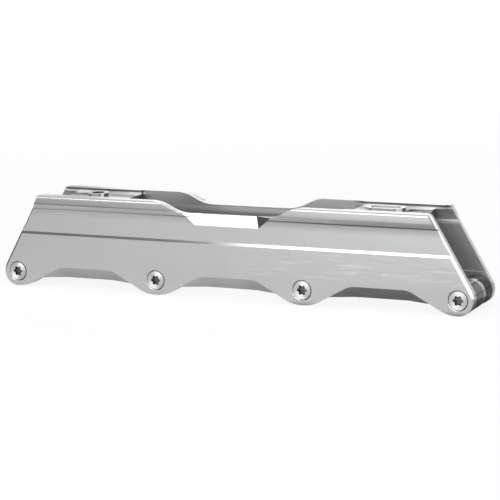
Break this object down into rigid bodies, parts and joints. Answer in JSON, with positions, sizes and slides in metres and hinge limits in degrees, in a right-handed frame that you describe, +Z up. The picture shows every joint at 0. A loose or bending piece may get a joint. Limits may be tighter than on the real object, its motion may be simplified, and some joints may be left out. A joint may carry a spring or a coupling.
{
  "type": "inline skate frame",
  "caption": "Polished metal channel frame for inline skate wheels in a row, with flush screw-in axles, spacers and two boot plates.",
  "frame": {"origin": "centre of the frame's length and width, at the height of the undersides of the axle lobes, on which it stands", "axes": "+X along the frame towards the plate with the slot, +Y across the frame from the axle heads to the axle tips, +Z up towards the boot"},
  "size_m": [0.2588, 0.037, 0.0485],
  "materials": {
    "polished_aluminium": "polished and clear anodised, with fine machining lines",
    "axle_steel": "bright plated steel, turned head",
    "turned_aluminium": "turned, bright",
    "black_spacer": "black anodised, glossy"
  },
  "bodies": {
    "frame": {"chassis": "polished_aluminium", "axle_bolt_1": "axle_steel", "axle_bolt_2": "axle_steel", "axle_bolt_3": "axle_steel", "axle_bolt_4": "axle_steel"},
    "near_sleeve_1": {"near_spacer_1": "turned_aluminium"},
    "near_sleeve_2": {"near_spacer_2": "turned_aluminium"},
    "near_sleeve_3": {"near_spacer_3": "turned_aluminium"},
    "near_sleeve_4": {"near_spacer_4": "turned_aluminium"},
    "far_sleeve_1": {"far_spacer_1": "black_spacer", "spacer_ring_1": "turned_aluminium"},
    "far_sleeve_2": {"far_spacer_2": "black_spacer", "spacer_ring_2": "turned_aluminium"},
    "far_sleeve_3": {"far_spacer_3": "black_spacer", "spacer_ring_3": "turned_aluminium"},
    "far_sleeve_4": {"far_spacer_4": "black_spacer", "spacer_ring_4": "turned_aluminium"}
  },
  "joints": [
    {"name": "near_sleeve_1_spin", "type": "hinge", "parent": "frame", "child": "near_sleeve_1", "pos_m": [-0.1215, 0, 0.0076], "axis": [0, 1, 0], "continuous": true},
    {"name": "near_sleeve_2_spin", "type": "hinge", "parent": "frame", "child": "near_sleeve_2", "pos_m": [-0.0405, 0, 0.0076], "axis": [0, 1, 0], "continuous": true},
    {"name": "near_sleeve_3_spin", "type": "hinge", "parent": "frame", "child": "near_sleeve_3", "pos_m": [0.0405, 0, 0.0076], "axis": [0, 1, 0], "continuous": true},
    {"name": "near_sleeve_4_spin", "type": "hinge", "parent": "frame", "child": "near_sleeve_4", "pos_m": [0.1215, 0, 0.0076], "axis": [0, 1, 0], "continuous": true},
    {"name": "far_sleeve_1_spin", "type": "hinge", "parent": "frame", "child": "far_sleeve_1", "pos_m": [-0.1215, 0, 0.0076], "axis": [0, 1, 0], "continuous": true},
    {"name": "far_sleeve_2_spin", "type": "hinge", "parent": "frame", "child": "far_sleeve_2", "pos_m": [-0.0405, 0, 0.0076], "axis": [0, 1, 0], "continuous": true},
    {"name": "far_sleeve_3_spin", "type": "hinge", "parent": "frame", "child": "far_sleeve_3", "pos_m": [0.0405, 0, 0.0076], "axis": [0, 1, 0], "continuous": true},
    {"name": "far_sleeve_4_spin", "type": "hinge", "parent": "frame", "child": "far_sleeve_4", "pos_m": [0.1215, 0, 0.0076], "axis": [0, 1, 0], "continuous": true}
  ]
}
